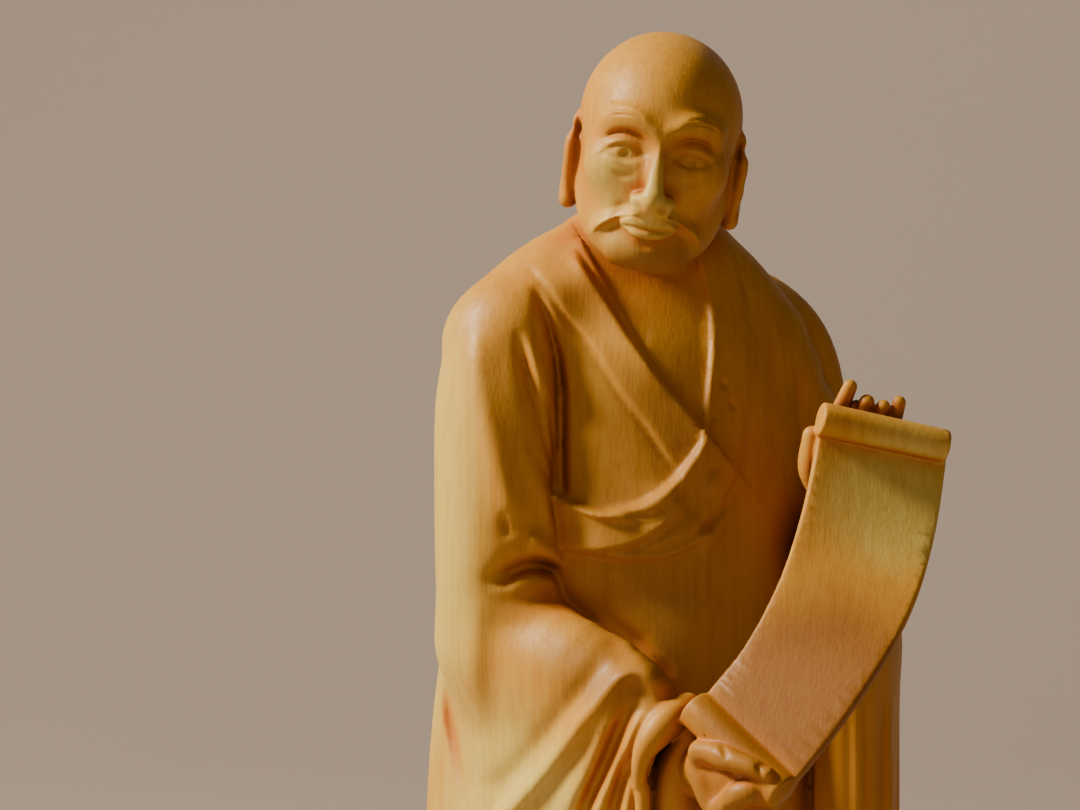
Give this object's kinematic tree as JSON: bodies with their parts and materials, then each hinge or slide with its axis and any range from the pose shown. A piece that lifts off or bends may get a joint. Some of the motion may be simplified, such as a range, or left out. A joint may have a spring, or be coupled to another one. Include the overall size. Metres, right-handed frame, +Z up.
{
  "type": "arhat statue",
  "caption": "Standing arhat carved from one block of boxwood, in a crossed robe with hanging sleeves, holding an unrolled scroll in front of it, on a low base of rock.",
  "frame": {"origin": "centre of the base's flat underside", "axes": "-Y towards the picture's camera, +X to the right in the picture, +Z up along the figure"},
  "size_m": [0.1169, 0.1176, 0.358],
  "materials": {
    "boxwood": "satin wax"
  },
  "bodies": {
    "root": {"arhat_statue": "boxwood"}
  },
  "joints": []
}
